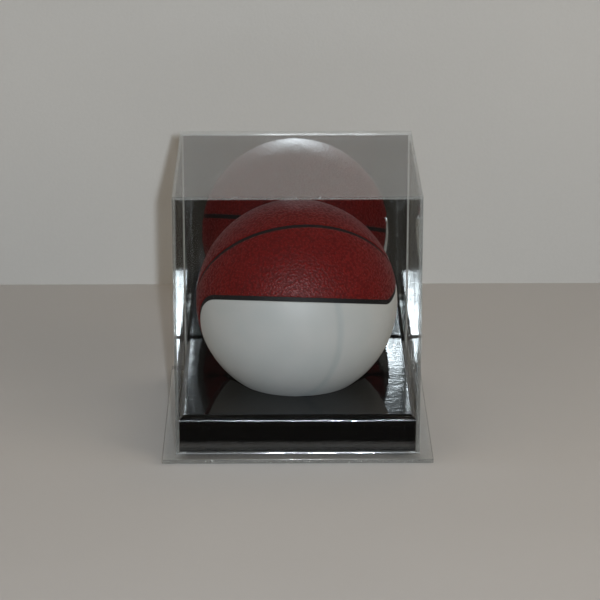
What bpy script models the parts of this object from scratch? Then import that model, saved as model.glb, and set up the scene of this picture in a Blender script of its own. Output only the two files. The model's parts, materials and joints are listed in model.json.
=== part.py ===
"""Clear acrylic display case with a mirror back and a black riser, holding a basketball.

Metres, +Z up.  X runs across the front, +Y towards the mirror, and the origin is the middle of
the footprint on the surface that the feet stand on.
"""
import math

import bmesh
import bpy
from mathutils import Matrix, Vector

# ---- driving dimensions ----------------------------------------------------------------------
COLLECTION = "ball_display_case"
GAP = 0.0003              # seen between pieces that touch

WALL = 0.003              # acrylic sheet of the cover
BALL_SIDE_ROOM = 0.0185   # ball to the cover's left and right walls
BALL_END_ROOM = 0.0185    # ball's radius to the front and back walls, from the cover's middle
BALL_HEADROOM = 0.0464    # ball to the cover's top panel

PLATE_MARGIN = 0.0155     # base plate beyond the cover, on each side
PLATE_THICKNESS = 0.005
PLATE_CORNER = 0.0015     # polished corner of the base plate

FOOT_HEIGHT = 0.0015
FOOT_RADIUS = 0.006
FOOT_INSET = 0.016        # foot centre from the plate's edges

RISER_CLEARANCE = 0.0015  # riser to the inside of the cover
RISER_HEIGHT = 0.046      # deck top above the base plate
RISER_LIFT = 0.0018       # skirts above the base plate, on their pads
SKIRT_THICKNESS = 0.003
DECK_THICKNESS = 0.006
DECK_BEVEL = 0.0055
PAD_RADIUS = 0.004

MIRROR_THICKNESS = 0.003
MIRROR_SIDE_CLEARANCE = 0.0008   # mirror to the inside of the cover, both sides and back
MIRROR_TOP_CLEARANCE = 0.0008    # mirror's top edge below the cover's top panel
TAPE_THICKNESS = 0.001           # with the gap on both of its faces
TAPE_WIDTH = 0.019
TAPE_INSET = 0.030               # strip's outer edge from the riser's side
TAPE_MARGIN = 0.004              # strip's ends from the skirt's ends

BALL_RADIUS = 0.120
SEAT_DEPTH = 0.0239       # how far the ball sinks below the deck's top
SEAT_CLEARANCE = 0.0005
SEAT_CHAMFER = 0.0008
LEATHER = 0.0015          # panel thickness
PANEL_GAP = 0.0003        # panel to carcass
CHANNEL = 0.0055          # rubber channel between panels
CARCASS_WALL = 0.003
VALVE_RADIUS = 0.0034
VALVE_CLEARANCE = 0.0004
VALVE_LENGTH = 0.010
VALVE_LATITUDE = math.radians(-40)   # on the side that faces the mirror

BALL_SEGMENTS = 32
BALL_RINGS = 16
HOLE_SEGMENTS = 64
DISC_SEGMENTS = 24

# Seams of the ball.  Each is a circle: a unit normal and the plane's distance from the centre,
# as a share of the radius.  The front frame has X to the right, U up along the ball's face and
# F out of the face, which leans back by FACE_LEAN.
FACE_LEAN = math.radians(18.8)
X_AXIS = Vector((1, 0, 0))
U_AXIS = Vector((0, math.sin(FACE_LEAN), math.cos(FACE_LEAN)))
F_AXIS = Vector((0, -math.cos(FACE_LEAN), math.sin(FACE_LEAN)))


def face_normal(x, u, f):
    """Unit vector from its parts along the front frame's axes."""
    return (x * X_AXIS + u * U_AXIS + f * F_AXIS).normalized()


MIDDLE_SEAM = (face_normal(0.032, 1.0, 0.0), 0.0)         # across the face; positive above it
CROWN_SEAM = (face_normal(-0.094, 0.770, -0.630), 0.11)   # over the face; positive behind it
LEFT_SEAM = (face_normal(-0.277, 0.598, -0.752), 0.0)     # turns down; positive to its left
RIGHT_SEAM = (face_normal(0.163, -0.902, -0.399), 0.0)    # turns up; positive beyond it
BACK_SEAM = (Vector((0.086, -0.321, 0.943)).normalized(), 0.08)   # positive above it
LEFT_CORNER_RADIUS = math.radians(27)     # where the middle seam turns into the left one
RIGHT_CORNER_RADIUS = math.radians(16.5)   # and into the right one

# ---- sizes worked out from them --------------------------------------------------------------
COVER_WIDTH = 2 * (BALL_RADIUS + BALL_SIDE_ROOM + WALL)   # outside, along X
COVER_DEPTH = 2 * (BALL_RADIUS + BALL_END_ROOM + WALL)    # outside, along Y
BALL_TOP = RISER_HEIGHT - SEAT_DEPTH + 2 * BALL_RADIUS    # above the base plate
COVER_HEIGHT = BALL_TOP + BALL_HEADROOM + WALL            # outside, from the base plate

PLATE_BOTTOM = FOOT_HEIGHT + GAP
PLATE_TOP = PLATE_BOTTOM + PLATE_THICKNESS
PLATE_WIDTH = COVER_WIDTH + 2 * PLATE_MARGIN
PLATE_DEPTH = COVER_DEPTH + 2 * PLATE_MARGIN

COVER_BOTTOM = PLATE_TOP + GAP
COVER_TOP = PLATE_TOP + COVER_HEIGHT
WALL_TOP = COVER_TOP - WALL - GAP
INNER_X = COVER_WIDTH / 2 - WALL
INNER_Y = COVER_DEPTH / 2 - WALL

MIRROR_BACK = INNER_Y - MIRROR_SIDE_CLEARANCE
MIRROR_FRONT = MIRROR_BACK - MIRROR_THICKNESS
MIRROR_HALF = INNER_X - MIRROR_SIDE_CLEARANCE
MIRROR_TOP = COVER_TOP - WALL - MIRROR_TOP_CLEARANCE

RISER_HALF = INNER_X - RISER_CLEARANCE
RISER_FRONT = -(INNER_Y - RISER_CLEARANCE)
RISER_BACK = MIRROR_FRONT - TAPE_THICKNESS
RISER_MIDDLE = (RISER_FRONT + RISER_BACK) / 2
DECK_TOP = PLATE_TOP + RISER_HEIGHT
DECK_BOTTOM = DECK_TOP - DECK_THICKNESS
SKIRT_BOTTOM = PLATE_TOP + RISER_LIFT
SKIRT_TOP = DECK_BOTTOM - GAP

BALL_CENTRE = Vector((0, RISER_MIDDLE, DECK_TOP - SEAT_DEPTH + BALL_RADIUS))
SEAT_RADIUS = math.sqrt(BALL_RADIUS ** 2 - (BALL_RADIUS - SEAT_DEPTH) ** 2) + SEAT_CLEARANCE
CARCASS_RADIUS = BALL_RADIUS - LEATHER - PANEL_GAP
HALF_CHANNEL = CHANNEL / 2 / BALL_RADIUS      # as a share of the radius, like the seams
CUT_TOLERANCE = 1e-7
FLAT_ANGLE = math.radians(0.05)
SMOOTH_ANGLE = math.radians(30)


# ---- scene, collections and materials --------------------------------------------------------
for old in list(bpy.data.objects):
    bpy.data.objects.remove(old, do_unlink=True)

parts = bpy.data.collections.new(COLLECTION)
cutters = bpy.data.collections.new("cutters")
bpy.context.scene.collection.children.link(parts)
bpy.context.scene.collection.children.link(cutters)

ACRYLIC = ((0.92, 0.94, 0.95), 0.02, 0.0, 0.25)
BLACK = ((0.006, 0.006, 0.007), 0.05, 0.0, 1.0)
MIRROR = ((0.85, 0.87, 0.88), 0.02, 1.0, 1.0)
CLEAR_RUBBER = ((0.70, 0.72, 0.72), 0.35, 0.0, 0.6)
TAPE = ((0.75, 0.75, 0.72), 0.8, 0.0, 1.0)
RUBBER = ((0.012, 0.011, 0.011), 0.6, 0.0, 1.0)
RED_LEATHER = ((0.16, 0.018, 0.014), 0.5, 0.0, 1.0)
WHITE_LEATHER = ((0.62, 0.62, 0.60), 0.35, 0.0, 1.0)


def finish(name, look):
    """Principled material with the colour, roughness, metallic value and alpha of a look."""
    colour, roughness, metallic, alpha = look
    material = bpy.data.materials.new(name + "_finish")
    material.use_nodes = True
    shader = material.node_tree.nodes["Principled BSDF"]
    shader.inputs["Base Color"].default_value = (*colour, 1)
    shader.inputs["Roughness"].default_value = roughness
    shader.inputs["Metallic"].default_value = metallic
    shader.inputs["Alpha"].default_value = alpha
    material.diffuse_color = (*colour, alpha)
    return material


def add_piece(name, bm, look, parent=None, place=(0, 0, 0), smooth_angle=None):
    """Object for one piece from a bmesh in the piece's own frame."""
    mesh = bpy.data.meshes.new(name)
    bm.to_mesh(mesh)
    bm.free()
    if smooth_angle is not None:
        mesh.shade_smooth()
        mesh.set_sharp_from_angle(angle=smooth_angle)
    piece = bpy.data.objects.new(name, mesh)
    piece.location = place
    piece.parent = parent
    mesh.materials.append(finish(name, look))
    parts.objects.link(piece)
    return piece


def add_joint_frame(name, place):
    """Empty on a joint's axis, which the moving pieces hang from."""
    frame = bpy.data.objects.new(name, None)
    frame.location = place
    bpy.context.scene.collection.objects.link(frame)
    return frame


def box(low, high):
    """Box between two corners."""
    low, high = Vector(low), Vector(high)
    bm = bmesh.new()
    size = Matrix.Diagonal((*(high - low), 1))
    bmesh.ops.create_cube(bm, size=1, matrix=Matrix.Translation((low + high) / 2) @ size)
    return bm


def disc(radius, low, high, segments=DISC_SEGMENTS):
    """Upright cylinder between two heights, on the Z axis."""
    bm = bmesh.new()
    place = Matrix.Translation((0, 0, (low + high) / 2))
    bmesh.ops.create_cone(bm, cap_ends=True, segments=segments, radius1=radius, radius2=radius,
                          depth=high - low, matrix=place)
    return bm


def bevel_edges(bm, edges, width, segments=1):
    bmesh.ops.bevel(bm, geom=edges, offset=width, offset_type="OFFSET", segments=segments,
                    profile=0.5, affect="EDGES", material=-1)


def cut_with(piece, name, bm, place=(0, 0, 0)):
    """Boolean difference of a piece with a cutter made from a bmesh."""
    mesh = bpy.data.meshes.new(name)
    bm.to_mesh(mesh)
    bm.free()
    cutter = bpy.data.objects.new(name, mesh)
    cutter.location = place
    cutter.hide_render = True
    cutter.display_type = "WIRE"
    cutters.objects.link(cutter)
    hole = piece.modifiers.new(name, "BOOLEAN")
    hole.operation = "DIFFERENCE"
    hole.solver = "EXACT"
    hole.object = cutter


# ---- base: plate, feet, pads -----------------------------------------------------------------
def build_base():
    half_x, half_y = PLATE_WIDTH / 2, PLATE_DEPTH / 2
    plate = box((-half_x, -half_y, PLATE_BOTTOM), (half_x, half_y, PLATE_TOP))
    upright = [e for e in plate.edges if abs(e.verts[0].co.z - e.verts[1].co.z) > GAP]
    bevel_edges(plate, upright, PLATE_CORNER, segments=3)
    add_piece("base_plate", plate, ACRYLIC)

    foot_x, foot_y = half_x - FOOT_INSET, half_y - FOOT_INSET
    pad_x = RISER_HALF - PAD_RADIUS
    for end, y_sign in (("front", -1), ("back", 1)):
        for side, x_sign in (("left", -1), ("right", 1)):
            foot = disc(FOOT_RADIUS, 0, FOOT_HEIGHT)
            add_piece(f"foot_{end}_{side}", foot, CLEAR_RUBBER,
                      place=(x_sign * foot_x, y_sign * foot_y, 0))
            pad = disc(PAD_RADIUS, PLATE_TOP + GAP, SKIRT_BOTTOM - GAP)
            edge = RISER_FRONT if y_sign < 0 else RISER_BACK
            add_piece(f"riser_pad_{end}_{side}", pad, CLEAR_RUBBER,
                      place=(x_sign * pad_x, edge - y_sign * PAD_RADIUS, 0))


# ---- riser: bevelled deck with the seat hole, and four skirts ---------------------------------
def build_riser():
    deck = box((-RISER_HALF, RISER_FRONT, DECK_BOTTOM), (RISER_HALF, RISER_BACK, DECK_TOP))
    rim = [e for e in deck.edges if all(v.co.z > DECK_TOP - GAP for v in e.verts)]
    bevel_edges(deck, rim, DECK_BEVEL)
    deck = add_piece("riser_deck", deck, BLACK)

    seat = disc(SEAT_RADIUS, DECK_BOTTOM - DECK_THICKNESS, DECK_TOP + DECK_THICKNESS,
                HOLE_SEGMENTS)
    cut_with(deck, "seat_cutter", seat, place=(0, RISER_MIDDLE, 0))
    mouth = bmesh.new()
    bmesh.ops.create_cone(mouth, cap_ends=True, segments=HOLE_SEGMENTS, depth=4 * SEAT_CHAMFER,
                          radius1=SEAT_RADIUS - SEAT_CHAMFER, radius2=SEAT_RADIUS + 3 * SEAT_CHAMFER)
    cut_with(deck, "seat_mouth_cutter", mouth, place=(0, RISER_MIDDLE, DECK_TOP))

    side_front = RISER_FRONT + SKIRT_THICKNESS + GAP
    side_back = RISER_BACK - SKIRT_THICKNESS - GAP
    skirts = {
        "riser_skirt_front": ((-RISER_HALF, RISER_FRONT),
                              (RISER_HALF, RISER_FRONT + SKIRT_THICKNESS)),
        "riser_skirt_back": ((-RISER_HALF, RISER_BACK - SKIRT_THICKNESS),
                             (RISER_HALF, RISER_BACK)),
        "riser_skirt_left": ((-RISER_HALF, side_front),
                             (-RISER_HALF + SKIRT_THICKNESS, side_back)),
        "riser_skirt_right": ((RISER_HALF - SKIRT_THICKNESS, side_front),
                              (RISER_HALF, side_back)),
    }
    for name, (low, high) in skirts.items():
        add_piece(name, box((*low, SKIRT_BOTTOM), (*high, SKIRT_TOP)), BLACK)


# ---- mirror and the tape that holds it --------------------------------------------------------
def build_mirror():
    mirror = box((-MIRROR_HALF, MIRROR_FRONT, PLATE_TOP + GAP),
                 (MIRROR_HALF, MIRROR_BACK, MIRROR_TOP))
    add_piece("mirror_panel", mirror, MIRROR)
    for side, sign in (("left", -1), ("right", 1)):
        outer = sign * (RISER_HALF - TAPE_INSET)
        inner = outer - sign * TAPE_WIDTH
        strip = box((min(outer, inner), RISER_BACK + GAP, SKIRT_BOTTOM + TAPE_MARGIN),
                    (max(outer, inner), MIRROR_FRONT - GAP, SKIRT_TOP - TAPE_MARGIN))
        add_piece(f"mirror_tape_{side}", strip, TAPE)


# ---- cover: five acrylic panels ---------------------------------------------------------------
def build_cover():
    lift = add_joint_frame("cover_lift_frame", (0, 0, PLATE_TOP))
    half_x, half_y = COVER_WIDTH / 2, COVER_DEPTH / 2
    side_y = INNER_Y - GAP
    panels = {
        "cover_top": ((-half_x, -half_y, COVER_TOP - WALL), (half_x, half_y, COVER_TOP)),
        "cover_front": ((-half_x, -half_y, COVER_BOTTOM), (half_x, -INNER_Y, WALL_TOP)),
        "cover_back": ((-half_x, INNER_Y, COVER_BOTTOM), (half_x, half_y, WALL_TOP)),
        "cover_left": ((-half_x, -side_y, COVER_BOTTOM), (-INNER_X, side_y, WALL_TOP)),
        "cover_right": ((INNER_X, -side_y, COVER_BOTTOM), (half_x, side_y, WALL_TOP)),
    }
    for name, (low, high) in panels.items():
        panel = box(low, high)
        bmesh.ops.translate(panel, vec=(0, 0, -PLATE_TOP), verts=panel.verts)
        add_piece(name, panel, ACRYLIC, parent=lift)


# ---- ball: carcass, four leather panels, valve -------------------------------------------------
def side_of(seam, point):
    """Distance of a point of the unit sphere from a seam's plane, with its sign."""
    normal, offset = seam
    return normal.dot(point) - offset


def corner_centre(radius, first, second):
    """Point of the unit sphere that lies a corner's radius inside two great-circle seams.

    Each seam is given with the sign of its inner side.
    """
    normal_a, normal_b = first[0][0] * first[1], second[0][0] * second[1]
    flat = (normal_a + normal_b) * math.sin(radius) / (1 + normal_a.dot(normal_b))
    across = normal_a.cross(normal_b).normalized()
    if across.dot(F_AXIS) < 0:
        across = -across
    return flat + across * math.sqrt(1 - flat.length_squared)


LEFT_BOUNDS = ((MIDDLE_SEAM, -1), (LEFT_SEAM, -1))     # inside is the white panel's side
RIGHT_BOUNDS = ((MIDDLE_SEAM, 1), (RIGHT_SEAM, -1))    # inside is the front panel's side
LEFT_CORNER = corner_centre(LEFT_CORNER_RADIUS, *LEFT_BOUNDS)
RIGHT_CORNER = corner_centre(RIGHT_CORNER_RADIUS, *RIGHT_BOUNDS)
LEFT_CHORD = 2 * math.sin(LEFT_CORNER_RADIUS / 2)
RIGHT_CHORD = 2 * math.sin(RIGHT_CORNER_RADIUS / 2)


def corner_sides(centre, first, second):
    """Normals of the planes from the centre square to each seam, towards the corner's point."""
    point = first[0][0].cross(second[0][0])
    if point.dot(F_AXIS) < 0:
        point = -point
    normals = [centre.cross(seam[0]).normalized() for seam, _ in (first, second)]
    return [normal if normal.dot(point) > 0 else -normal for normal in normals]


def rounded(point, centre, chord, bounds):
    """Distance outside a region that two seams bound, with its corner rounded.

    The corner is measured as its cut is made, so a point of a flat facet, a little inside the
    unit sphere, still lies on the right side of the cut.
    """
    if all(normal.dot(point) > 0 for normal in corner_sides(centre, *bounds)):
        return math.sqrt(max(0, 2 - 2 * centre.dot(point))) - chord
    return max(sign * -side_of(seam, point) for seam, sign in bounds)


def red_side(point):
    """Distance from the line between red and white leather, positive on the red side."""
    if point.x < 0:
        return rounded(point, LEFT_CORNER, LEFT_CHORD, LEFT_BOUNDS)
    upper = -rounded(point, RIGHT_CORNER, RIGHT_CHORD, RIGHT_BOUNDS)
    return max(upper, side_of(LEFT_SEAM, point))


def is_front_panel(point):
    return side_of(CROWN_SEAM, point) < -HALF_CHANNEL and red_side(point) > HALF_CHANNEL


def is_white_panel(point):
    return side_of(CROWN_SEAM, point) < -HALF_CHANNEL and red_side(point) < -HALF_CHANNEL


def is_crown_panel(point):
    return side_of(CROWN_SEAM, point) > HALF_CHANNEL and side_of(BACK_SEAM, point) > HALF_CHANNEL


def is_back_panel(point):
    return side_of(CROWN_SEAM, point) > HALF_CHANNEL and side_of(BACK_SEAM, point) < -HALF_CHANNEL


def cut_plane(bm, normal, distance):
    """Split every face of the ball along a plane at a share of its radius from the centre."""
    bmesh.ops.bisect_plane(bm, geom=bm.verts[:] + bm.edges[:] + bm.faces[:], dist=CUT_TOLERANCE,
                           plane_co=normal * distance * BALL_RADIUS, plane_no=normal)


def ball_surface(radius):
    bm = bmesh.new()
    bmesh.ops.create_uvsphere(bm, u_segments=BALL_SEGMENTS, v_segments=BALL_RINGS, radius=radius)
    return bm


def give_leather_wall(bm):
    """Close an open piece of the ball's surface with a wall towards the centre."""
    inner = bmesh.ops.extrude_face_region(bm, geom=bm.faces[:], use_keep_orig=True)["geom"]
    verts = [g for g in inner if isinstance(g, bmesh.types.BMVert)]
    share = (BALL_RADIUS - LEATHER) / BALL_RADIUS
    bmesh.ops.scale(bm, vec=(share, share, share), verts=verts)
    bmesh.ops.recalc_face_normals(bm, faces=bm.faces)


def leather_panel(name, look, belongs, frame):
    bm = ball_surface(BALL_RADIUS)
    for normal, offset in (MIDDLE_SEAM, CROWN_SEAM, LEFT_SEAM, RIGHT_SEAM, BACK_SEAM):
        cut_plane(bm, normal, offset - HALF_CHANNEL)
        cut_plane(bm, normal, offset + HALF_CHANNEL)
    for centre, chord, bounds in ((LEFT_CORNER, LEFT_CHORD, LEFT_BOUNDS),
                                  (RIGHT_CORNER, RIGHT_CHORD, RIGHT_BOUNDS)):
        for normal in corner_sides(centre, *bounds):
            cut_plane(bm, normal, 0)
        for reach in (-HALF_CHANNEL, HALF_CHANNEL):
            cut_plane(bm, centre, 1 - (chord + reach) ** 2 / 2)
    outside = [f for f in bm.faces if not belongs(f.calc_center_median() / BALL_RADIUS)]
    bmesh.ops.delete(bm, geom=outside, context="FACES")
    bmesh.ops.dissolve_limit(bm, angle_limit=FLAT_ANGLE, verts=bm.verts, edges=bm.edges)
    give_leather_wall(bm)
    return add_piece(name, bm, look, parent=frame, smooth_angle=SMOOTH_ANGLE)


def build_ball():
    frame = add_joint_frame("ball_turn_frame", BALL_CENTRE)
    carcass = ball_surface(CARCASS_RADIUS)
    inside = ball_surface(CARCASS_RADIUS - CARCASS_WALL)
    carcass = add_piece("ball_carcass", carcass, RUBBER, parent=frame,
                        smooth_angle=SMOOTH_ANGLE)
    cut_with(carcass, "air_space_cutter", inside, place=BALL_CENTRE)

    leather_panel("ball_panel_front", RED_LEATHER, is_front_panel, frame)
    leather_panel("ball_panel_white", WHITE_LEATHER, is_white_panel, frame)
    leather_panel("ball_panel_crown", RED_LEATHER, is_crown_panel, frame)
    back = leather_panel("ball_panel_back", RED_LEATHER, is_back_panel, frame)

    tilt = Matrix.Rotation(-(math.pi / 2 - VALVE_LATITUDE), 4, "X")
    for piece in (carcass, back):
        bore = disc(VALVE_RADIUS + VALVE_CLEARANCE, BALL_RADIUS - 2 * VALVE_LENGTH,
                    BALL_RADIUS + VALVE_LENGTH)
        bmesh.ops.transform(bore, matrix=tilt, verts=bore.verts)
        cut_with(piece, piece.name + "_valve_cutter", bore, place=BALL_CENTRE)
    valve = disc(VALVE_RADIUS, BALL_RADIUS - VALVE_LENGTH, BALL_RADIUS - LEATHER / 2)
    bmesh.ops.transform(valve, matrix=tilt, verts=valve.verts)
    add_piece("ball_valve", valve, RUBBER, parent=frame)


build_base()
build_riser()
build_mirror()
build_cover()
build_ball()
bpy.context.view_layer.update()
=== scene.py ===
"""Looks of a clear display case with a black riser, a mirror back and a basketball.

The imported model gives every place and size.  Each operator below makes one piece, or one group
of like pieces, around it, and the panel in the 3D view's sidebar lists them.
"""

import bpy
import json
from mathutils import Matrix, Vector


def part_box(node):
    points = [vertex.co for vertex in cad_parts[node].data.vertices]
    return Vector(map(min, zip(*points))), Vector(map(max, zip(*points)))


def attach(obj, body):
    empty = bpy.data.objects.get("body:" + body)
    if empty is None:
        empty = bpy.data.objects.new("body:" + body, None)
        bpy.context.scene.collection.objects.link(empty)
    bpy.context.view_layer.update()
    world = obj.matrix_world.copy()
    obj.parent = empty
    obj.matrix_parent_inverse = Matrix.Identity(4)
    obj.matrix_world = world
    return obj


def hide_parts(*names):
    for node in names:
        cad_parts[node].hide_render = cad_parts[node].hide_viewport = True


bl_info = {
    "name": "Ball Display Case",
    "version": (1, 0, 0),
    "blender": (4, 5, 0),
    "location": "View3D > Sidebar > Display Case",
    "description": "Clear lift-off cover, mirror back, black riser and a basketball in its seat",
    "category": "Object",
}

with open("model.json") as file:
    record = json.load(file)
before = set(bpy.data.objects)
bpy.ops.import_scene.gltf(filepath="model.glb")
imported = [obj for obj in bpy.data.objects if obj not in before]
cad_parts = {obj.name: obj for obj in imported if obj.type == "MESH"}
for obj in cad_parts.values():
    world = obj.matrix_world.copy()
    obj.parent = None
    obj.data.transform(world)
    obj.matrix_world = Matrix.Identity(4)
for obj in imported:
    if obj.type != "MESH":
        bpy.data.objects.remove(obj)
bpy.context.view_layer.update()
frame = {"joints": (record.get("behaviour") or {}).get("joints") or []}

import json
import math

import bmesh
import bpy
from bpy.props import FloatProperty, FloatVectorProperty, IntProperty, PointerProperty
from bpy.types import Operator, Panel, PropertyGroup
from mathutils import Matrix, Quaternion, Vector

MM = 0.001
BEVEL_SEGMENTS = 2
CUT_TOLERANCE = 1e-7
MERGE_DISTANCE = 1e-6
DECK_SMOOTH = math.radians(25)      # an edge that bends less than this is shaded smooth
BALL_SMOOTH = math.radians(35)
ROUND_SMOOTH = math.radians(40)
TURNED_STEPS = 32
SQUARE_ON = 0.99                    # cosine between an axis and a face that squarely faces it

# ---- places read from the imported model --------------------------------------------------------
PLATE_LOW, PLATE_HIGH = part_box("base_plate")
DECK_LOW, DECK_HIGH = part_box("riser_deck")
MIRROR_LOW, MIRROR_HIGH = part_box("mirror_panel")
COVER_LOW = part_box("cover_top")[0]
BALL_CENTRE = Vector(next(
    joint["pos_m"] for joint in frame["joints"] if joint["name"] == "ball_turn"))
BALL_RADIUS = 120 * MM
LEATHER = 1.5 * MM


# ---- settings ---------------------------------------------------------------------------------
class CaseSettings(PropertyGroup):
    """Sizes and looks of the acrylic pieces."""
    edge_round: FloatProperty(
        name="Edge round", description="Width of the polished edge of each sheet",
        default=0.35 * MM, min=0, unit="LENGTH")
    cement_width: FloatProperty(
        name="Cement width", description="Width of the bead of cement in the cover's corners",
        default=0.9 * MM, min=0, unit="LENGTH")
    top_haze: FloatProperty(
        name="Top haze", description="How much the rubbed top panel veils at a glancing angle",
        default=0.09, min=0, max=2, subtype="FACTOR")
    wall_haze: FloatProperty(
        name="Wall haze", description="How much the cover's walls veil at a glancing angle",
        default=0.05, min=0, max=1, subtype="FACTOR")
    mirror_wave: FloatProperty(
        name="Mirror wave", description="Slope of the slow waves in the mirror, in degrees",
        default=0.12, min=0)
    deck_bevel: FloatProperty(
        name="Deck bevel", description="Width of the bevel round the deck's top",
        default=5.5 * MM, min=0, unit="LENGTH")
    seat_radius: FloatProperty(
        name="Seat radius", description="Radius of the round hole that the ball sits in",
        default=72.4 * MM, min=0, unit="LENGTH")
    black: FloatVectorProperty(
        name="Black", description="Colour of the riser's acrylic", subtype="COLOR", size=3,
        default=(0.0010, 0.0011, 0.0013), min=0, max=1)


class BallSettings(PropertyGroup):
    """Leather, rubber and channels of the ball."""
    red: FloatVectorProperty(
        name="Red leather", description="Colour of the pebbled panels", subtype="COLOR", size=3,
        default=(0.138, 0.0050, 0.0044), min=0, max=1)
    white: FloatVectorProperty(
        name="White leather", description="Colour of the smooth panel", subtype="COLOR", size=3,
        default=(0.455, 0.465, 0.465), min=0, max=1)
    channel: FloatProperty(
        name="Channel", description="Width of the rubber channel between panels",
        default=5.5 * MM, min=0, unit="LENGTH")
    channel_depth: FloatProperty(
        name="Channel depth", description="Depth of the rubber below the leather",
        default=1.1 * MM, min=0, unit="LENGTH")
    pebble: FloatProperty(
        name="Pebble", description="Distance between the pebbles of the leather",
        default=2.6 * MM, min=0, unit="LENGTH")
    pebble_height: FloatProperty(
        name="Pebble height", description="Height of the pebbles",
        default=0.42 * MM, min=0, unit="LENGTH")
    detail: IntProperty(
        name="Detail", description="Subdivisions of the ball's surface", default=7, min=4, max=7)


class StageSettings(PropertyGroup):
    """Camera, floor, backdrop and lights."""
    lens: FloatProperty(
        name="Lens", description="Focal length on a 36 mm sensor, in millimetres",
        default=156.6, min=1)
    distance: FloatProperty(
        name="Camera distance", description="Camera to the case's middle, along the floor",
        default=2.9496, min=0, unit="LENGTH")
    height: FloatProperty(
        name="Camera height", description="Camera above the floor", default=1.1542, unit="LENGTH")
    side: FloatProperty(
        name="Camera side", description="Camera to the right of the case's middle",
        default=-0.0220, unit="LENGTH")
    tilt: FloatProperty(
        name="Tilt", description="How far the camera looks down", default=math.radians(18.84),
        subtype="ANGLE")
    heading: FloatProperty(
        name="Heading", description="How far the camera turns to the right",
        default=math.radians(0.504), subtype="ANGLE")
    backdrop: FloatProperty(
        name="Backdrop", description="Backdrop behind the case's middle", default=0.503,
        unit="LENGTH")
    flash_power: FloatProperty(
        name="Front light", description="Power of the small light by the camera, in watts",
        default=56.0, min=0)
    glint_power: FloatProperty(
        name="Glint light", description="Power of the small lights by the camera, for gloss only",
        default=60.0, min=0)
    room_power: FloatProperty(
        name="Room light", description="Power of the large light to the right, in watts",
        default=20.0, min=0)
    soft_power: FloatProperty(
        name="Soft light", description="Power of the large light over the case, in watts",
        default=5.0, min=0)
    sheen_power: FloatProperty(
        name="Sheen light", description="Power of the light behind the case, for gloss only",
        default=0.4, min=0)


# ---- finishes ---------------------------------------------------------------------------------
class Field:
    """A number that changes over a surface: Python arithmetic on it adds Math nodes."""

    def __init__(self, finish, socket):
        self.finish = finish
        self.socket = socket

    def maths(self, operation, *values):
        node = self.finish.node("ShaderNodeMath", {"operation": operation}, *values)
        return Field(self.finish, node.outputs[0])

    def __add__(self, other):
        return self.maths("ADD", self, other)

    def __mul__(self, other):
        return self.maths("MULTIPLY", self, other)

    def __sub__(self, other):
        return self.maths("SUBTRACT", self, other)

    def __rsub__(self, other):
        return self.maths("SUBTRACT", other, self)

    def __pow__(self, other):
        return self.maths("POWER", self, other)

    __radd__ = __add__
    __rmul__ = __mul__

    def limited(self):
        """Kept between 0 and 1."""
        return self.maths("MAXIMUM", self.maths("MINIMUM", self, 1.0), 0.0)

    def step(self, low, high):
        """0 below low, 1 above high, and smooth between."""
        node = self.finish.node("ShaderNodeMapRange",
                                {"interpolation_type": "SMOOTHSTEP"}, self, low, high)
        return Field(self.finish, node.outputs[0])


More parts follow.
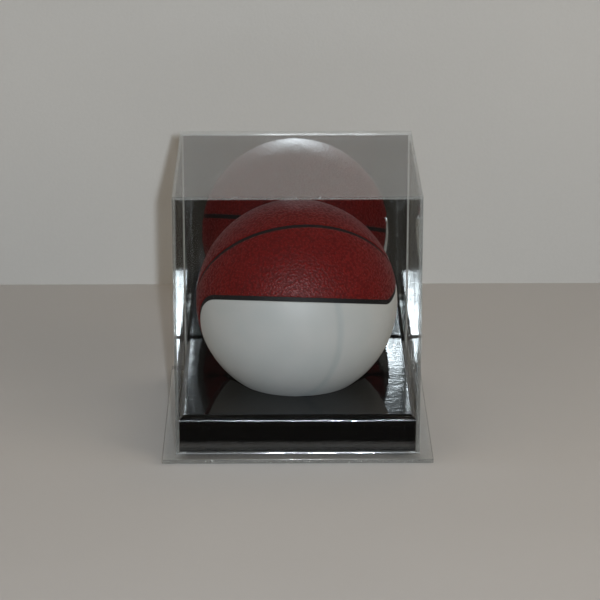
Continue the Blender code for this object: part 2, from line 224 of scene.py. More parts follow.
class Finish:
    """A material: its Principled shader, and one method that adds any other node."""

    def __init__(self, name, **values):
        self.material = bpy.data.materials.new(name)
        self.material.use_nodes = True
        self.tree = self.material.node_tree
        self.shader = self.tree.nodes["Principled BSDF"]
        self.output = self.tree.nodes["Material Output"]
        self.coordinates = self.node("ShaderNodeTexCoord").outputs["Object"]
        for label, value in values.items():
            self.feed(self.shader, label.replace("_", " ").title().replace("Ior", "IOR"), value)

    def feed(self, node, label, value):
        socket = node.inputs[label]
        if isinstance(value, Field):
            value = value.socket
        if isinstance(value, bpy.types.NodeSocket):
            self.tree.links.new(value, socket)
        elif isinstance(value, tuple) and socket.type == "RGBA":
            socket.default_value = (*value[:3], 1)
        else:
            socket.default_value = value

    def node(self, kind, settings=None, *values, **named):
        """Node of a kind: its settings first, then values or links by place or by name."""
        node = self.tree.nodes.new(kind)
        for key, value in (settings or {}).items():
            setattr(node, key, value)
        for place, value in enumerate(values):
            self.feed(node, place, value)
        for label, value in named.items():
            self.feed(node, label.replace("_", " "), value)
        return node

    def noise(self, size, detail=2.0, roughness=0.5, stretch=(1, 1, 1)):
        """Noise between 0 and 1 whose features are about size across."""
        place = self.node("ShaderNodeMapping", None, Vector=self.coordinates,
                          Scale=tuple(part / size for part in stretch))
        node = self.node("ShaderNodeTexNoise", None, Vector=place.outputs[0], Scale=1.0,
                         Detail=detail, Roughness=roughness)
        return Field(self, node.outputs[0])

    def cells(self, size, feature="F1"):
        """Distance from the middle of the nearest cell, 0 to about 1."""
        node = self.node("ShaderNodeTexVoronoi", {"feature": feature}, Vector=self.coordinates,
                         Scale=1 / size)
        return Field(self, node.outputs["Distance"])

    def seen_along(self):
        """0 where the surface faces the eye, towards 1 where it is seen edge-on."""
        return Field(self, self.node("ShaderNodeLayerWeight").outputs["Facing"])

    def gloss_share(self):
        """Share of light that one face of an acrylic sheet reflects, the same from both sides."""
        straight_on = 0.04
        return straight_on + (1 - straight_on) * self.seen_along() ** 5.0

    def mix(self, share, first, second):
        """Colour between two colours."""
        node = self.node("ShaderNodeMix", {"data_type": "RGBA"})
        share_socket, first_colour, second_colour, mixed_colour = 0, 6, 7, 2
        self.feed(node, share_socket, share)
        self.feed(node, first_colour, first)
        self.feed(node, second_colour, second)
        return node.outputs[mixed_colour]

    def bump(self, height, distance, strength=1.0):
        """Feeds a height, in units of distance, to the shader's normal."""
        node = self.node("ShaderNodeBump", None, Height=height, Distance=distance,
                         Strength=strength)
        self.feed(self.shader, "Normal", node.outputs[0])

    def blend_shaders(self, share, first, second):
        node = self.node("ShaderNodeMixShader")
        self.feed(node, 0, share)
        self.tree.links.new(first, node.inputs[1])
        self.tree.links.new(second, node.inputs[2])
        return node.outputs[0]

    def show(self, surface):
        self.tree.links.new(surface, self.output.inputs["Surface"])


def waves(finish, slope, crinkle_slope, crinkle, stretch=(1, 1, 1)):
    """Normal of a sheet that isn't quite flat: long waves, and crinkles of a size and a stretch.

    The slopes are in degrees, about the steepest that the waves and the crinkles reach.
    """
    long_wave = 70 * MM
    height = finish.noise(long_wave, detail=0) * (math.radians(slope) * long_wave / MM)
    fine = finish.noise(crinkle, detail=2, stretch=stretch)
    height = height + fine * (math.radians(crinkle_slope) * crinkle / MM)
    node = finish.node("ShaderNodeBump", None, Height=height, Distance=MM, Strength=1.0)
    return node.outputs[0]


def clear_acrylic(name, haze, glancing_haze, dust, crinkle_slope=0.8, stretch=(1, 0.08, 1)):
    """Clear sheet: a see-through layer, a thin veil of rub marks and dust, and a gloss over it."""
    finish = Finish(name, base_color=(0.30, 0.30, 0.295), roughness=0.7)
    speck = finish.noise(0.9 * MM, detail=3).step(0.60, 0.78)
    smear = finish.noise(34 * MM, detail=4, stretch=(1, 2.4, 1))
    veil = haze + glancing_haze * finish.seen_along() ** 2.0 * (0.80 + 0.4 * smear)
    veil = (veil + dust * speck * smear).limited()
    ripple = waves(finish, 0.2, crinkle_slope, 3.5 * MM, stretch)
    gloss = finish.node("ShaderNodeBsdfGlossy", None, Color=(1, 1, 1), Roughness=0.03,
                        Normal=ripple)
    through = finish.node("ShaderNodeBsdfTransparent", None, Color=(0.985, 0.99, 0.99))
    veiled = finish.blend_shaders(veil, through.outputs[0], finish.shader.outputs[0])
    finish.show(finish.blend_shaders(finish.gloss_share(), veiled, gloss.outputs[0]))
    return finish.material


def sheet_edge(name, cover, colour, glint):
    """Sawn and flame-polished edge of a clear sheet, with small chips painted near-white as
    glints.
    """
    finish = Finish(name, roughness=0.22, coat_weight=0.6, coat_roughness=0.05)
    chip_and_glint = finish.noise(2.2 * MM, detail=4, roughness=0.7).step(0.58, 0.72)
    saw = finish.noise(0.5 * MM, detail=1, stretch=(1, 1, 0.15))
    # painted glint: the chips' near-white base colour stands for glints on the edge; their bump
    # and cover are real chips
    finish.feed(finish.shader, "Base Color", finish.mix(chip_and_glint, colour, glint))
    finish.bump(saw + chip_and_glint, 0.06 * MM, 0.6)
    through = finish.node("ShaderNodeBsdfTransparent", None, Color=(0.96, 0.98, 0.98))
    share = (cover + 0.35 * chip_and_glint).limited()
    finish.show(finish.blend_shaders(share, through.outputs[0], finish.shader.outputs[0]))
    return finish.material


def black_acrylic(colour):
    """Polished black sheet with a little dust and fine wiping marks."""
    finish = Finish("black_acrylic_finish", ior=1.49)
    dust = finish.noise(1.1 * MM, detail=4).step(0.62, 0.80)
    smear = finish.noise(26 * MM, detail=3, stretch=(1, 0.5, 1))
    dusty = tuple(0.020 + part for part in colour)
    finish.feed(finish.shader, "Base Color", finish.mix(dust * smear * 0.6, colour, dusty))
    finish.feed(finish.shader, "Roughness", 0.04 + 0.05 * smear * smear)
    finish.feed(finish.shader, "Normal", waves(finish, 0.2, 1.0, 7 * MM, (0.6, 1, 1)))
    return finish.material


def black_rim(colour):
    """Hand-polished rims of the black deck, less even than its faces."""
    finish = Finish("black_rim_finish", base_color=colour, roughness=0.10, ior=1.49)
    finish.feed(finish.shader, "Normal", waves(finish, 1.0, 8.0, 1.5 * MM))
    return finish.material


def mirror_face(wave_slope):
    """Silvered face of the acrylic mirror: bright, slightly wavy, with faint specks."""
    finish = Finish("mirror_face_finish", metallic=1.0)
    speck = finish.noise(1.6 * MM, detail=3).step(0.66, 0.80)
    silver = finish.mix(speck, (0.80, 0.83, 0.83), (0.60, 0.62, 0.62))
    finish.feed(finish.shader, "Base Color", silver)
    finish.feed(finish.shader, "Roughness", 0.04 + 0.05 * speck)
    finish.feed(finish.shader, "Normal", waves(finish, wave_slope, wave_slope, 5 * MM))
    return finish.material


def mirror_paint():
    """Grey protective paint on the mirror's back and edges."""
    finish = Finish("mirror_paint_finish", roughness=0.55)
    peel = finish.noise(1.2 * MM, detail=3)
    shade = finish.mix(finish.noise(30 * MM, detail=4), (0.16, 0.17, 0.175), (0.21, 0.22, 0.225))
    finish.feed(finish.shader, "Base Color", shade)
    finish.bump(peel, 0.05 * MM, 0.5)
    return finish.material


def clear_rubber():
    """Soft clear bumper: milky, with moulding grain."""
    finish = Finish("clear_rubber_finish", roughness=0.35)
    grain = finish.noise(0.8 * MM, detail=3)
    finish.feed(finish.shader, "Base Color",
                finish.mix(grain, (0.50, 0.51, 0.50), (0.62, 0.63, 0.62)))
    finish.feed(finish.shader, "Roughness", 0.28 + 0.2 * grain)
    finish.bump(grain, 0.03 * MM, 0.4)
    through = finish.node("ShaderNodeBsdfTransparent", None, Color=(0.95, 0.97, 0.97))
    finish.show(finish.blend_shaders(0.55 + 0.2 * grain, through.outputs[0],
                                     finish.shader.outputs[0]))
    return finish.material


def foam_tape():
    """Open foam of the double-sided tape."""
    finish = Finish("foam_tape_finish", roughness=0.9)
    pore = finish.cells(0.7 * MM).step(0.2, 0.7)
    finish.feed(finish.shader, "Base Color",
                finish.mix(pore, (0.40, 0.39, 0.36), (0.66, 0.65, 0.60)))
    finish.bump(pore, 0.12 * MM, 0.8)
    return finish.material


def ball_rubber():
    """Satin black rubber of the channels and the valve."""
    finish = Finish("ball_rubber_finish", specular_ior_level=0.2)
    grain = finish.noise(0.6 * MM, detail=3)
    finish.feed(finish.shader, "Base Color",
                finish.mix(grain, (0.0035, 0.0033, 0.0032), (0.008, 0.007, 0.007)))
    finish.feed(finish.shader, "Roughness", 0.58 + 0.25 * grain)
    finish.bump(grain, 0.04 * MM, 0.6)
    return finish.material


def red_leather(colour, pebble, height):
    """Pebbled leather: round grains, darker valleys between them, and slow shade changes."""
    finish = Finish("red_leather_finish", specular_ior_level=0.13)
    grain = 1.0 - finish.cells(pebble, "SMOOTH_F1").step(0.10, 0.70)
    cloud = finish.noise(30 * MM, detail=4).step(0.35, 0.7)
    dark = tuple(0.60 * part for part in colour)
    worn = tuple(min(1, 1.12 * part + 0.002) for part in colour)
    shade = finish.mix(grain, dark, finish.mix(cloud, colour, worn))
    finish.feed(finish.shader, "Base Color", shade)
    finish.feed(finish.shader, "Roughness", 0.62 - 0.22 * grain)
    finish.bump(grain, height, 1.0)
    return finish.material


def white_leather(colour):
    """Smooth coated leather with a fine skin, faint cool patches and a seam with painted blue-grey
    shade.
    """
    finish = Finish("white_leather_finish", specular_ior_level=0.3)
    skin = finish.cells(0.9 * MM, "SMOOTH_F1")
    cloud = finish.noise(34 * MM, detail=4).step(0.3, 0.75)
    normal, offset = WHITE_SEAM
    along = finish.node("ShaderNodeVectorMath", {"operation": "DOT_PRODUCT"},
                        finish.coordinates, tuple(normal))
    away = Field(finish, along.outputs["Value"]) - (normal.dot(BALL_CENTRE) + offset * BALL_RADIUS)
    seam = 1.0 - away.maths("ABSOLUTE", away).step(0.8 * MM, 6.5 * MM)
    cool = (colour[0] * 0.93, colour[1] * 0.955, colour[2] * 0.96)
    # painted shade: a soft blue-grey band along the shallow groove in the white leather
    painted_groove_shade = (colour[0] * 0.72, colour[1] * 0.80, colour[2] * 0.83)
    plain = finish.mix(cloud, colour, cool)
    finish.feed(finish.shader, "Base Color", finish.mix(0.5 * seam, plain, painted_groove_shade))
    finish.feed(finish.shader, "Roughness", 0.46 + 0.12 * skin)
    finish.bump(skin, 0.02 * MM, 0.5)
    return finish.material


def cloth(name, light, dark, weave):
    """Plain matt cloth or wall for the stage."""
    finish = Finish(name, roughness=0.95, specular_ior_level=0.1)
    cloud = finish.noise(0.25, detail=5)
    grain = finish.noise(weave, detail=2)
    finish.feed(finish.shader, "Base Color", finish.mix(cloud * 0.6 + grain * 0.4, light, dark))
    finish.bump(grain, weave / 6, 0.25)
    return finish


# ---- making pieces ----------------------------------------------------------------------------
def make_piece(name, bm, finishes, body, replaced, smooth_angle=None):
    """Object from a bmesh that is in place, on its body, standing for the CAD nodes named."""
    mesh = bpy.data.meshes.new(name)
    bm.to_mesh(mesh)
    bm.free()
    for material in finishes:
        mesh.materials.append(material)
    if smooth_angle is not None:
        mesh.shade_smooth()
        mesh.set_sharp_from_angle(angle=smooth_angle)
    piece = bpy.data.objects.new(name, mesh)
    bpy.context.scene.collection.objects.link(piece)
    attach(piece, body)
    if replaced:
        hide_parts(*replaced)
    return piece


def bevel(bm, edges, width, segments=BEVEL_SEGMENTS):
    return bmesh.ops.bevel(bm, geom=edges, offset=width, offset_type="OFFSET",
                           segments=segments, profile=0.5, affect="EDGES", material=-1)


def sharp_block(low, high):
    """Box between two corners."""
    bm = bmesh.new()
    size = Matrix.Diagonal((*(high - low), 1))
    bmesh.ops.create_cube(bm, size=1, matrix=Matrix.Translation((low + high) / 2) @ size)
    return bm


def block(low, high, edge_round):
    """Box between two corners with every edge rounded."""
    bm = sharp_block(low, high)
    bevel(bm, bm.edges[:], edge_round)
    return bm


def split(bm, geom, point, normal, **options):
    """Cut the edges and faces given along a plane."""
    bmesh.ops.bisect_plane(bm, geom=geom, dist=CUT_TOLERANCE, plane_co=point, plane_no=normal,
                           **options)


def turned(outline):
    """Solid turned about the Z axis from its outline, given as pairs of radius and height."""
    bm = bmesh.new()
    verts = [bm.verts.new((radius, 0, height)) for radius, height in outline]
    edges = [bm.edges.new(pair) for pair in zip(verts, verts[1:])]
    bmesh.ops.spin(bm, geom=verts + edges, cent=(0, 0, 0), axis=(0, 0, 1),
                   angle=2 * math.pi, steps=TURNED_STEPS, use_merge=True)
    bmesh.ops.remove_doubles(bm, verts=bm.verts[:], dist=MERGE_DISTANCE)
    bmesh.ops.recalc_face_normals(bm, faces=bm.faces[:])
    return bm


def paint_edges(bm, low, high):
    """Second finish for every face of a sheet that isn't one of its two broad faces."""
    size = high - low
    thin = min(range(3), key=lambda axis: size[axis])
    for face in bm.faces:
        face.material_index = 0 if abs(face.normal[thin]) > SQUARE_ON else 1


def sheet(name, node, finishes, body, edge_round):
    """Acrylic sheet in the place of a CAD node, with polished edges of their own finish."""
    low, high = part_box(node)
    bm = block(low, high, edge_round)
    paint_edges(bm, low, high)
    return make_piece(name, bm, finishes, body, [node])


def cement_bead(name, start, end, inward, width, finish):
    """Three-sided bead of cement along an inner corner, from start to end."""
    along = end - start
    low = Vector(map(min, start, end))
    high = Vector(map(max, start, end))
    for axis in range(3):
        if abs(along[axis]) < MM:
            shift = inward[axis] * width
            low[axis] = min(low[axis], low[axis] + shift)
            high[axis] = max(high[axis], high[axis] + shift)
    bm = sharp_block(low, high)
    split(bm, bm.verts[:] + bm.edges[:] + bm.faces[:], (low + high) / 2, inward, clear_outer=True)
    bmesh.ops.holes_fill(bm, edges=bm.edges[:], sides=0)
    bmesh.ops.recalc_face_normals(bm, faces=bm.faces[:])
    return make_piece(name, bm, [finish], "cover", [])


# ---- operators --------------------------------------------------------------------------------
class CASE_OT_stage(Operator):
    """Make the camera, the floor, the backdrop and the lights"""
    bl_idname = "display_case.stage"
    bl_label = "Stage"
    half_width = 3.0
    mirrored_from = -0.190      # the floor nearer than this doesn't show in glossy faces
    floor_ends = (-3.5, 3.5)
    wall_height = 2.6
    cool = (0.87, 0.94, 1.0)
    warm = (1.0, 0.84, 0.66)
    dim = (0.018, 0.015, 0.012)
    aim = Vector((0, 0, 0.15))
    rim_share = 0.65            # power of the second glint light, as a share of the first
    fill_share = 0.6            # power of the left light, as a share of the right one

    def execute(self, context):
        stage = context.scene.case_stage
        self.add_camera(context, stage)
        self.add_floor(context, stage)
        self.add_lights(context, stage)
        return {"FINISHED"}

    def add_camera(self, context, stage):
        data = bpy.data.cameras.new("camera")
        data.sensor_width = 36
        data.lens = stage.lens
        data.clip_end = 50
        camera = bpy.data.objects.new("camera", data)
        camera.location = (stage.side, -stage.distance, stage.height)
        camera.rotation_euler = (math.pi / 2 - stage.tilt, 0, -stage.heading)
        context.scene.collection.objects.link(camera)
        context.scene.camera = camera

    def add_floor(self, context, stage):
        cloth_finish = cloth("table_cloth_finish", (0.510, 0.503, 0.498), (0.460, 0.455, 0.450),
                             1.5 * MM).material
        half, near_edge, far_edge = self.half_width, self.mirrored_from, stage.backdrop
        slabs = {"table_near": (self.floor_ends[0], near_edge, False),
                 "table": (near_edge, far_edge, True),
                 "table_behind": (far_edge, self.floor_ends[1], True)}
        for name, (front, back, mirrored) in slabs.items():
            floor = self.plane(name, (-half, front, 0), (half, back, 0), cloth_finish)
            floor.visible_glossy = mirrored
            context.scene.collection.objects.link(floor)
        wall_finish = cloth("wall_finish", (0.500, 0.505, 0.500), (0.450, 0.455, 0.450), 4 * MM)
        behind = wall_finish.node("ShaderNodeNewGeometry").outputs["Backfacing"]
        through = wall_finish.node("ShaderNodeBsdfTransparent").outputs[0]
        wall_finish.show(wall_finish.blend_shaders(behind, wall_finish.shader.outputs[0], through))
        wall = self.plane("backdrop", (-half, 0, 0), (half, self.wall_height, 0),
                          wall_finish.material)
        wall.data.transform(Matrix.Translation((0, far_edge, 0)) @ Matrix.Rotation(
            math.pi / 2, 4, "X"))
        context.scene.collection.objects.link(wall)

    def plane(self, name, low, high, material):
        bm = bmesh.new()
        middle = (Vector(low) + Vector(high)) / 2
        size = Vector(high) - Vector(low)
        place = Matrix.Translation(middle) @ Matrix.Diagonal((size.x, size.y, 1, 1))
        bmesh.ops.create_grid(bm, x_segments=1, y_segments=1, size=0.5, matrix=place)
        mesh = bpy.data.meshes.new(name)
        bm.to_mesh(mesh)
        bm.free()
        mesh.materials.append(material)
        return bpy.data.objects.new(name, mesh)

    def add_lights(self, context, stage):
        """Area lights round the case, in a dim room."""
        side, front, height = stage.side, -stage.distance, stage.height
        glint_front, glint_height, glint_size = front + 0.02, height + 0.012, 0.04
        # place, size, power, colour, and whether matt and glossy faces see it
        lights = {
            "front_light": ((side + 0.10, front, height + 0.03), 0.05, stage.flash_power,
                            self.cool, True, True),
            "corner_glint_light": ((side, glint_front, glint_height), glint_size,
                                   stage.glint_power, self.cool, False, True),
            "rim_glint_light": ((side + 0.20, glint_front, glint_height), glint_size,
                                self.rim_share * stage.glint_power, self.cool, False, True),
            "sheen_light": ((0.05, 0.44, 1.2), 0.12, stage.sheen_power, self.warm, False, True),
            "soft_light": ((0.15, 0.42, 1.9), 0.6, stage.soft_power, self.warm, True, False),
            "room_light": ((1.9, -1.1, 1.1), 1.6, stage.room_power, self.warm, True, False),
            "fill_light": ((-1.9, -1.1, 0.9), 1.6, self.fill_share * stage.room_power,
                           self.warm, True, False),
        }
        for name, (place, size, power, colour, matt, glossy) in lights.items():
            light = self.area_light(context, name, Vector(place), size, power, colour)
            light.visible_diffuse = matt
            light.visible_glossy = glossy
        world = bpy.data.worlds.new("room")
        world.use_nodes = True
        world.node_tree.nodes["Background"].inputs["Color"].default_value = (*self.dim, 1)
        context.scene.world = world
        context.scene.view_settings.view_transform = "Standard"

    def area_light(self, context, name, place, size, power, colour):
        data = bpy.data.lights.new(name, "AREA")
        data.color = colour
        data.shape = "DISK"
        data.size = size
        data.energy = power
        light = bpy.data.objects.new(name, data)
        light.location = place
        light.rotation_euler = (self.aim - place).to_track_quat("-Z", "Y").to_euler()
        context.scene.collection.objects.link(light)
        return light


class CASE_OT_cover(Operator):
    """Make the five sheets of the cover and the cement in its corners"""
    bl_idname = "display_case.cover"
    bl_label = "Cover"

    def execute(self, context):
        case = context.scene.display_case
        edge = sheet_edge("cover_edge_finish", 0.20, (0.34, 0.35, 0.35), (0.85, 0.87, 0.87))
        top = clear_acrylic("cover_top_finish", 0.008, case.top_haze, 0.04)
        wall = clear_acrylic("cover_wall_finish", 0.002, case.wall_haze, 0.02)
        for side in ("top", "front", "back", "left", "right"):
            face = top if side == "top" else wall
            sheet(f"cover_{side}_sheet", f"cover_{side}", [face, edge], "cover",
                  case.edge_round)
        self.add_cement(case)
        return {"FINISHED"}

    def add_cement(self, case):
        finish = sheet_edge("cement_finish", 0.15, (0.60, 0.62, 0.62), (0.95, 0.97, 0.97))
        gap = 0.05 * MM
        left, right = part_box("cover_left")[1].x + gap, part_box("cover_right")[0].x - gap
        front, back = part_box("cover_front")[1].y + gap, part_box("cover_back")[0].y - gap
        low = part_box("cover_front")[0].z + MM
        high = COVER_LOW.z - gap
        for end, y, y_in in (("front", front, 1), ("back", back, -1)):
            for side, x, x_in in (("left", left, 1), ("right", right, -1)):
                cement_bead(f"cement_{end}_{side}", Vector((x, y, low)), Vector((x, y, high)),
                            Vector((x_in, y_in, 0)), case.cement_width, finish)
            cement_bead(f"cement_top_{end}", Vector((left, y, high)), Vector((right, y, high)),
                        Vector((0, y_in, -1)), case.cement_width, finish)
        for side, x, x_in in (("left", left, 1), ("right", right, -1)):
            cement_bead(f"cement_top_{side}", Vector((x, front, high)), Vector((x, back, high)),
                        Vector((x_in, 0, -1)), case.cement_width, finish)


class CASE_OT_base_plate(Operator):
    """Make the clear base plate"""
    bl_idname = "display_case.base_plate"
    bl_label = "Base plate"
    corner_round = 1.5 * MM
    corner_segments = 4

    def rise(self, edge):
        return abs(edge.verts[0].co.z - edge.verts[1].co.z)

    def execute(self, context):
        case = context.scene.display_case
        bm = sharp_block(PLATE_LOW, PLATE_HIGH)
        upright = [edge for edge in bm.edges if self.rise(edge) > MM]
        bevel(bm, upright, self.corner_round, self.corner_segments)
        flat = [edge for edge in bm.edges if self.rise(edge) < MM / 10]
        bevel(bm, flat, case.edge_round)
        paint_edges(bm, PLATE_LOW, PLATE_HIGH)
        face = clear_acrylic("base_plate_finish", 0.01, 0.08, 0.06, 1.8, (0.5, 1, 1))
        # painted shadow: the clear plate's edge is a dark grey that stands for the shadow line
        # under the plate
        edge = sheet_edge("plate_edge_shadow_finish", 0.55, (0.15, 0.155, 0.15), (0.85, 0.87, 0.87))
        make_piece("base_plate_sheet", bm, [face, edge], "base", ["base_plate"],
                   ROUND_SMOOTH)
        return {"FINISHED"}


class CASE_OT_bumpers(Operator):
    """Make the feet under the plate and the pads under the riser"""
    bl_idname = "display_case.bumpers"
    bl_label = "Feet and pads"

    def execute(self, context):
        finish = clear_rubber()
        for end in ("front", "back"):
            for side in ("left", "right"):
                for kind, low_share in (("foot", 0.72), ("riser_pad", 0.96)):
                    self.add_bumper(f"{kind}_{end}_{side}", low_share, finish)
        return {"FINISHED"}

    def add_bumper(self, node, low_share, finish):
        """Turned bumper: flat where it sticks, rounded towards a narrower foot."""
        low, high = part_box(node)
        radius = (high.x - low.x) / 2
        depth = high.z - low.z
        middle = Vector(((low.x + high.x) / 2, (low.y + high.y) / 2, 0))
        outline = ((0, high.z), (radius, high.z), (radius, high.z - 0.35 * depth),
                   (radius * (0.4 + 0.6 * low_share), low.z + 0.15 * depth),
                   (radius * low_share, low.z), (0, low.z))
        bm = turned(outline)
        bmesh.ops.translate(bm, vec=middle, verts=bm.verts[:])
        make_piece(f"{node}_bumper", bm, [finish], "base", [node],
                   ROUND_SMOOTH)


class CASE_OT_riser(Operator):
    """Make the bevelled deck with its seat hole, and the four skirts"""
    bl_idname = "display_case.riser"
    bl_label = "Riser"
    hole_segments = 128
    hole_chamfer = 0.8 * MM
    rim_round = 0.7 * MM
    rim_segments = 3

    def execute(self, context):
        case = context.scene.display_case
        finish = black_acrylic(tuple(case.black))
        self.add_deck(case, finish, black_rim(tuple(case.black)))
        for side in ("front", "back", "left", "right"):
            sheet(f"riser_skirt_{side}_sheet", f"riser_skirt_{side}", [finish, finish], "base",
                  case.edge_round)
        return {"FINISHED"}

    def loop(self, bm, height, radius=None, half=None):
        """Ring of vertices round the seat's middle: a circle, or a rectangle of half sizes."""
        ring = bmesh.ops.create_circle(bm, segments=self.hole_segments, radius=radius or 1.0)
        middle = Vector((BALL_CENTRE.x, BALL_CENTRE.y, height))
        for vert in ring["verts"]:
            if half is not None:
                reach = max(abs(vert.co.x), abs(vert.co.y))
                vert.co = Vector((vert.co.x / reach * half[0], vert.co.y / reach * half[1], 0))
            vert.co += middle
        return list({edge for vert in ring["verts"] for edge in vert.link_edges})

    def add_deck(self, case, finish, rim_finish):
        half = ((DECK_HIGH.x - DECK_LOW.x) / 2, (DECK_HIGH.y - DECK_LOW.y) / 2)
        inner = tuple(size - case.deck_bevel for size in half)
        top, bottom = DECK_HIGH.z, DECK_LOW.z
        chamfer = self.hole_chamfer
        bm = bmesh.new()
        loops = [
            self.loop(bm, top, radius=case.seat_radius + chamfer),
            self.loop(bm, top - chamfer, radius=case.seat_radius),
            self.loop(bm, bottom, radius=case.seat_radius),
            self.loop(bm, bottom, half=half),
            self.loop(bm, top - case.deck_bevel, half=half),
            self.loop(bm, top, half=inner),
        ]
        for first, second in zip(loops, loops[1:] + loops[:1]):
            bmesh.ops.bridge_loops(bm, edges=first + second)
        lower_rim = [edge for edge in loops[4] if edge.is_valid]
        for face in bevel(bm, lower_rim, self.rim_round, self.rim_segments)["faces"]:
            face.material_index = 1
        bmesh.ops.recalc_face_normals(bm, faces=bm.faces[:])
        make_piece("riser_deck_sheet", bm, [finish, rim_finish], "base", ["riser_deck"],
                   DECK_SMOOTH)


class CASE_OT_mirror(Operator):
    """Make the mirror and the tape that holds it"""
    bl_idname = "display_case.mirror"
    bl_label = "Mirror"
    tape_round = 0.1 * MM

    def execute(self, context):
        case = context.scene.display_case
        bm = block(MIRROR_LOW, MIRROR_HIGH, case.edge_round)
        for face in bm.faces:
            face.material_index = 0 if face.normal.y < -SQUARE_ON else 1
        make_piece("mirror_sheet", bm, [mirror_face(case.mirror_wave), mirror_paint()], "base",
                   ["mirror_panel"])
        tape = foam_tape()
        for side in ("left", "right"):
            low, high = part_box(f"mirror_tape_{side}")
            strip = block(low, high, self.tape_round)
            make_piece(f"mirror_tape_{side}_strip", strip, [tape], "base",
                       [f"mirror_tape_{side}"])
        return {"FINISHED"}


# Seams of the ball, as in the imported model: a unit normal, and the plane's distance from the
# ball's middle as a share of its radius.  X runs right, U up along the face and F out of it.
FACE_LEAN = math.radians(18.8)
FACE_AXES = (Vector((1, 0, 0)),
             Vector((0, math.sin(FACE_LEAN), math.cos(FACE_LEAN))),
             Vector((0, -math.cos(FACE_LEAN), math.sin(FACE_LEAN))))


def face_normal(*parts):
    """Unit vector from its parts along the face's axes."""
    return sum((part * axis for part, axis in zip(parts, FACE_AXES)), Vector()).normalized()


MIDDLE_SEAM = (face_normal(0.032, 1.0, 0.0), 0.0)
CROWN_SEAM = (face_normal(-0.094, 0.770, -0.630), 0.11)
LEFT_SEAM = (face_normal(-0.277, 0.598, -0.752), 0.0)
RIGHT_SEAM = (face_normal(0.163, -0.902, -0.399), 0.0)
BACK_SEAM = (Vector((0.086, -0.321, 0.943)).normalized(), 0.08)
WHITE_SEAM = (face_normal(0.655, 0.261, -0.709), -0.413)   # shallow, within the white panel
LEFT_CORNER_RADIUS = math.radians(27)
RIGHT_CORNER_RADIUS = math.radians(16.5)


def side_of(seam, point):
    return seam[0].dot(point) - seam[1]


class SeamCorner:
    """Rounded corner where two seams meet, each given with the sign of its inner side."""

    def __init__(self, radius, bounds):
        self.bounds = bounds
        self.chord = 2 * math.sin(radius / 2)
        first, second = (seam[0] * sign for seam, sign in bounds)
        flat = (first + second) * math.sin(radius) / (1 + first.dot(second))
        point = self.towards_face(first.cross(second).normalized())
        self.centre = flat + point * math.sqrt(1 - flat.length_squared)
        square = (self.centre.cross(seam[0]).normalized() for seam, _ in bounds)
        self.sides = [side if side.dot(point) > 0 else -side for side in square]

    def towards_face(self, vector):
        return vector if vector.dot(FACE_AXES[2]) > 0 else -vector

    def outside(self, point):
        """Distance of a point of the unit sphere outside the region between the seams."""
        if all(side.dot(point) > 0 for side in self.sides):
            return (point - self.centre).length - self.chord
        return max(-sign * side_of(seam, point) for seam, sign in self.bounds)


LEFT_CORNER = SeamCorner(LEFT_CORNER_RADIUS, ((MIDDLE_SEAM, -1), (LEFT_SEAM, -1)))
RIGHT_CORNER = SeamCorner(RIGHT_CORNER_RADIUS, ((MIDDLE_SEAM, 1), (RIGHT_SEAM, -1)))


def red_side(point):
    """Distance from the line between red and white leather, positive on the red side."""
    if point.x < 0:
        return LEFT_CORNER.outside(point)
    return max(-RIGHT_CORNER.outside(point), side_of(LEFT_SEAM, point))


def inside_front(point):
    return min(-side_of(CROWN_SEAM, point), red_side(point))


def inside_white(point):
    return min(-side_of(CROWN_SEAM, point), -red_side(point))


def inside_crown(point):
    return min(side_of(CROWN_SEAM, point), side_of(BACK_SEAM, point))


def inside_back(point):
    return min(side_of(CROWN_SEAM, point), -side_of(BACK_SEAM, point))


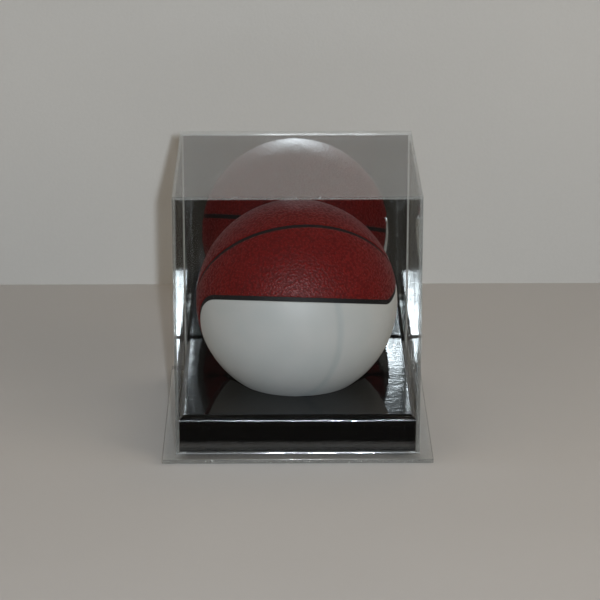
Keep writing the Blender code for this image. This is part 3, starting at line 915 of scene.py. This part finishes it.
class CASE_OT_ball(Operator):
    """Make the ball's carcass, its four leather panels and its valve"""
    bl_idname = "display_case.ball"
    bl_label = "Ball"
    shoulder = 1.3 * MM         # leather rounds off this far from a channel
    shoulder_drop = 0.55 * MM
    white_channel = 6.0 * MM    # half width of the shallow channel in the white panel
    white_drop = 0.30 * MM
    valve_hole = 3.8 * MM       # radius of the hole in the leather round the valve
    valve_sides = 16
    carcass_detail = 6
    valve_depth = 0.8 * MM
    near_valve = 0.998          # cosine of the angle within which faces are split for the hole

    def execute(self, context):
        ball = context.scene.case_ball
        red = red_leather(tuple(ball.red), ball.pebble, ball.pebble_height)
        white = white_leather(tuple(ball.white))
        rubber = ball_rubber()
        panels = {
            "front": (inside_front, red, "red_leather"),
            "white": (inside_white, white, "white_leather"),
            "crown": (inside_crown, red, "red_leather"),
            "back": (inside_back, red, "red_leather"),
        }
        surface = self.cut_surface(ball)
        for name, (inside, finish, slot) in panels.items():
            self.add_panel(name, surface, inside, finish, slot, ball)
        surface.free()
        self.add_carcass(ball, rubber)
        self.add_valve(rubber)
        return {"FINISHED"}

    def cut(self, bm, normal, distance):
        split(bm, bm.verts[:] + bm.edges[:] + bm.faces[:], normal * distance * BALL_RADIUS, normal)

    def cut_surface(self, ball):
        """Ball split along both sides of each channel and along the shoulders beside them."""
        bm = bmesh.new()
        detail = ball.detail
        bmesh.ops.create_icosphere(bm, subdivisions=detail, radius=BALL_RADIUS)
        half = ball.channel / 2 / BALL_RADIUS
        offsets = (half, half + self.shoulder / BALL_RADIUS)
        for normal, distance in (MIDDLE_SEAM, CROWN_SEAM, LEFT_SEAM, RIGHT_SEAM, BACK_SEAM):
            for offset in offsets:
                self.cut(bm, normal, distance - offset)
                self.cut(bm, normal, distance + offset)
        self.cut_valve_hole(bm)
        for corner in (LEFT_CORNER, RIGHT_CORNER):
            for side in corner.sides:
                self.cut(bm, side, 0)
            for offset in offsets:
                for chord in (corner.chord - offset, corner.chord + offset):
                    self.cut(bm, corner.centre, 1 - chord ** 2 / 2)
        return bm

    def valve_direction(self):
        low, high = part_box("ball_valve")
        return ((low + high) / 2 - BALL_CENTRE).normalized()

    def cut_valve_hole(self, bm):
        """Splits the faces round the valve along the sides of a regular polygon."""
        valve = self.valve_direction()
        for step in range(self.valve_sides):
            turn = Quaternion(valve, 2 * math.pi * step / self.valve_sides)
            side = turn @ valve.orthogonal().normalized()
            near = [face for face in bm.faces
                    if valve.dot(face.calc_center_median().normalized()) > self.near_valve]
            parts = {part for face in near for part in (face, *face.edges, *face.verts)}
            split(bm, list(parts), valve * BALL_RADIUS + side * self.valve_hole, side)

    def add_panel(self, name, surface, inside, finish, slot, ball):
        bm = surface.copy()
        half = ball.channel / 2 / BALL_RADIUS
        valve = self.valve_direction()
        hole = 1 - (self.valve_hole / BALL_RADIUS) ** 2 / 2
        outside = [face for face in bm.faces
                   if inside(face.calc_center_median().normalized()) < half
                   or valve.dot(face.calc_center_median().normalized()) > hole]
        bmesh.ops.delete(bm, geom=outside, context="FACES")
        inner = bmesh.ops.extrude_face_region(bm, geom=bm.faces[:], use_keep_orig=True)["geom"]
        inner = {part for part in inner if isinstance(part, bmesh.types.BMVert)}
        for vert in bm.verts:
            point = vert.co.normalized()
            if vert in inner:
                vert.co = point * (BALL_RADIUS - LEATHER)
                continue
            near = max(0, inside(point) - half) * BALL_RADIUS
            drop = self.shoulder_drop * max(0, 1 - near / self.shoulder) ** 2
            if name == "white":
                off = abs(side_of(WHITE_SEAM, point)) * BALL_RADIUS / self.white_channel
                drop += self.white_drop * max(0, 1 - off ** 2) ** 2
            vert.co = point * (BALL_RADIUS - drop)
        bmesh.ops.recalc_face_normals(bm, faces=bm.faces[:])
        bmesh.ops.translate(bm, vec=BALL_CENTRE, verts=bm.verts[:])
        make_piece(f"ball_{name}_leather", bm, [finish], "ball", [f"ball_panel_{name}"],
                   BALL_SMOOTH)

    def add_carcass(self, ball, rubber):
        bm = bmesh.new()
        bmesh.ops.create_icosphere(bm, subdivisions=self.carcass_detail,
                                   radius=BALL_RADIUS - ball.channel_depth,
                                   matrix=Matrix.Translation(BALL_CENTRE))
        make_piece("ball_rubber_carcass", bm, [rubber], "ball", ["ball_carcass"],
                   BALL_SMOOTH)

    def add_valve(self, rubber):
        """Round plug with a dished face and a needle hole."""
        top = BALL_RADIUS - self.valve_depth
        outline_mm = ((0, 3), (0.5, 3), (0.5, 0.5), (1.0, 0.3), (2.6, 0.1), (3.2, 0.3),
                      (3.3, 0.8), (3.3, 7), (0, 7))      # radius, and depth below the top
        outline = [(radius * MM, top - depth * MM) for radius, depth in outline_mm]
        bm = turned(outline)
        turn = self.valve_direction().to_track_quat("Z", "Y").to_matrix().to_4x4()
        bmesh.ops.transform(bm, matrix=Matrix.Translation(BALL_CENTRE) @ turn, verts=bm.verts[:])
        make_piece("ball_valve_plug", bm, [rubber], "ball", ["ball_valve"],
                   BALL_SMOOTH)


OPERATORS = (CASE_OT_stage, CASE_OT_base_plate, CASE_OT_bumpers, CASE_OT_riser, CASE_OT_mirror,
             CASE_OT_ball, CASE_OT_cover)


class CASE_PT_display_case(Panel):
    """Panel that lists the settings and the operators"""
    bl_idname = "CASE_PT_display_case"
    bl_label = "Display Case"
    bl_space_type = "VIEW_3D"
    bl_region_type = "UI"
    bl_category = "Display Case"

    def draw(self, context):
        for group in (context.scene.display_case, context.scene.case_ball,
                      context.scene.case_stage):
            box = self.layout.box()
            for name in group.__annotations__:
                box.prop(group, name)
        column = self.layout.column()
        for operator in OPERATORS:
            column.operator(operator.bl_idname)


CLASSES = (CaseSettings, BallSettings, StageSettings, *OPERATORS, CASE_PT_display_case)


def register():
    for cls in CLASSES:
        bpy.utils.register_class(cls)
    bpy.types.Scene.display_case = PointerProperty(type=CaseSettings)
    bpy.types.Scene.case_ball = PointerProperty(type=BallSettings)
    bpy.types.Scene.case_stage = PointerProperty(type=StageSettings)


def unregister():
    del bpy.types.Scene.display_case
    del bpy.types.Scene.case_ball
    del bpy.types.Scene.case_stage
    for cls in reversed(CLASSES):
        bpy.utils.unregister_class(cls)


def main():
    register()
    for operator in OPERATORS:
        group, name = operator.bl_idname.split(".")
        getattr(getattr(bpy.ops, group), name)()


if __name__ == "__main__":
    main()
